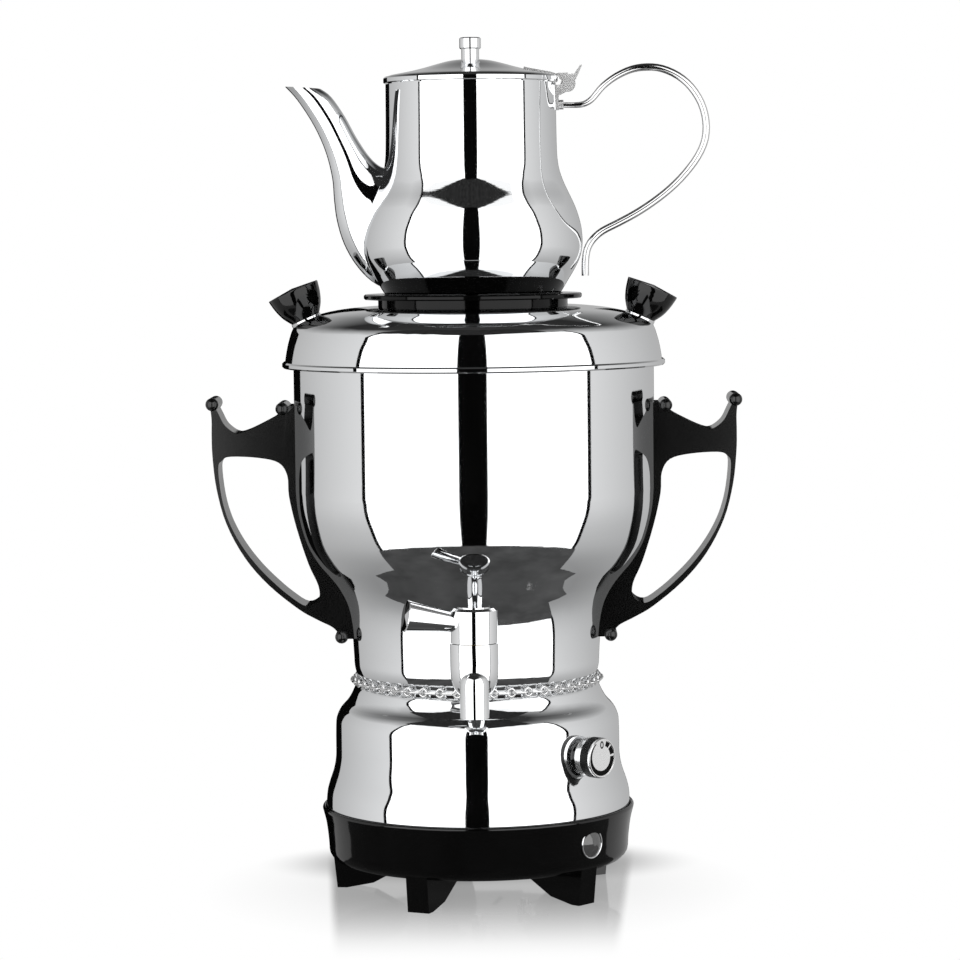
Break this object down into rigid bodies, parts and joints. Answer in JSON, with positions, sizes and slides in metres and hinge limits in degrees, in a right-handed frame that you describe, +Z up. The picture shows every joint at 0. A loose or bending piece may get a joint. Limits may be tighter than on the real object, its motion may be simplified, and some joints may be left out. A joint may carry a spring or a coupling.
{
  "type": "electric samovar",
  "caption": "Electric samovar: steel boiler on a black base with side handles and a tap, a lid with a ring that carries a steel teapot, and a turning dial.",
  "frame": {"origin": "on the table where the urn's axis meets it, between the five feet", "axes": "+Z is up along the urn's axis; the tap faces -Y, towards the viewer; the teapot's spout points along -X and its wire handle along +X; the inlet is at the back, +Y"},
  "size_m": [0.304, 0.239, 0.486],
  "materials": {
    "polished_steel": "mirror polished",
    "chrome": "mirror",
    "plain_steel": "plain turned",
    "bright_chain": "bright",
    "brass": "machined",
    "cast_aluminium": "cast",
    "heater_sheath": "matt",
    "black_plastic": "glossy",
    "gloss_black": "high gloss",
    "black_rubber": "matt",
    "seal_rubber": "matt",
    "cable_sleeve": "matt",
    "clear_lens": "clear, faceted inside",
    "neon_glass": "tinted"
  },
  "bodies": {
    "urn": {"base_moulding": "black_plastic", "base_feet": "black_plastic", "lower_shell": "polished_steel", "boiler": "polished_steel", "heater_plate": "cast_aluminium", "heater_element": "heater_sheath", "dry_cutout": "black_plastic", "tie_rods": "plain_steel", "tie_nuts": "plain_steel", "thermostat": "black_plastic", "dial_bezel": "black_plastic", "lamp_lens": "clear_lens", "lamp": "neon_glass", "inlet": "black_plastic", "inlet_pins": "brass", "inlet_screws": "plain_steel", "wiring": "cable_sleeve", "waist_chain": "bright_chain", "handle_left": "black_plastic", "handle_right": "black_plastic", "handle_screws": "plain_steel", "handle_washers": "seal_rubber", "tap_body": "chrome", "tap_seals": "seal_rubber", "tap_nut": "brass"},
    "tap_turn": {"tap_plug": "brass", "tap_cap": "chrome", "tap_cap_disc": "chrome", "tap_lever": "chrome"},
    "dial": {"dial_knob": "chrome", "dial_band": "black_rubber", "dial_shaft": "plain_steel"},
    "lid": {"lid": "polished_steel", "lid_knobs": "gloss_black", "knob_ferrules": "chrome", "knob_screws": "plain_steel", "support_ring": "gloss_black"},
    "teapot": {"teapot": "polished_steel", "spout": "polished_steel", "wire_handle": "polished_steel", "handle_bracket": "polished_steel", "hinge_pin": "plain_steel"},
    "teapot_lid": {"teapot_lid": "polished_steel", "lid_strap": "polished_steel", "teapot_knob": "chrome"}
  },
  "joints": [
    {"name": "tap_lever_turn", "type": "hinge", "parent": "urn", "child": "tap_turn", "pos_m": [0, -0.112, 0.155], "axis": [0, 0, 1], "range_deg": [0, 90]},
    {"name": "dial_turn", "type": "hinge", "parent": "urn", "child": "dial", "pos_m": [0.06635, -0.0608, 0.084], "axis": [0.7373, -0.6756, 0], "range_deg": [-270, 0]},
    {"name": "lid_lift", "type": "slide", "parent": "urn", "child": "lid", "axis": [0, 0, 1], "range_m": [0, 0.06]},
    {"name": "teapot_lift", "type": "slide", "parent": "lid", "child": "teapot", "axis": [0, 0, 1], "range_m": [0, 0.05]},
    {"name": "teapot_lid_hinge", "type": "hinge", "parent": "teapot", "child": "teapot_lid", "pos_m": [0.0552, 0, 0.4592], "axis": [0, 1, 0], "range_deg": [0, 80]}
  ]
}
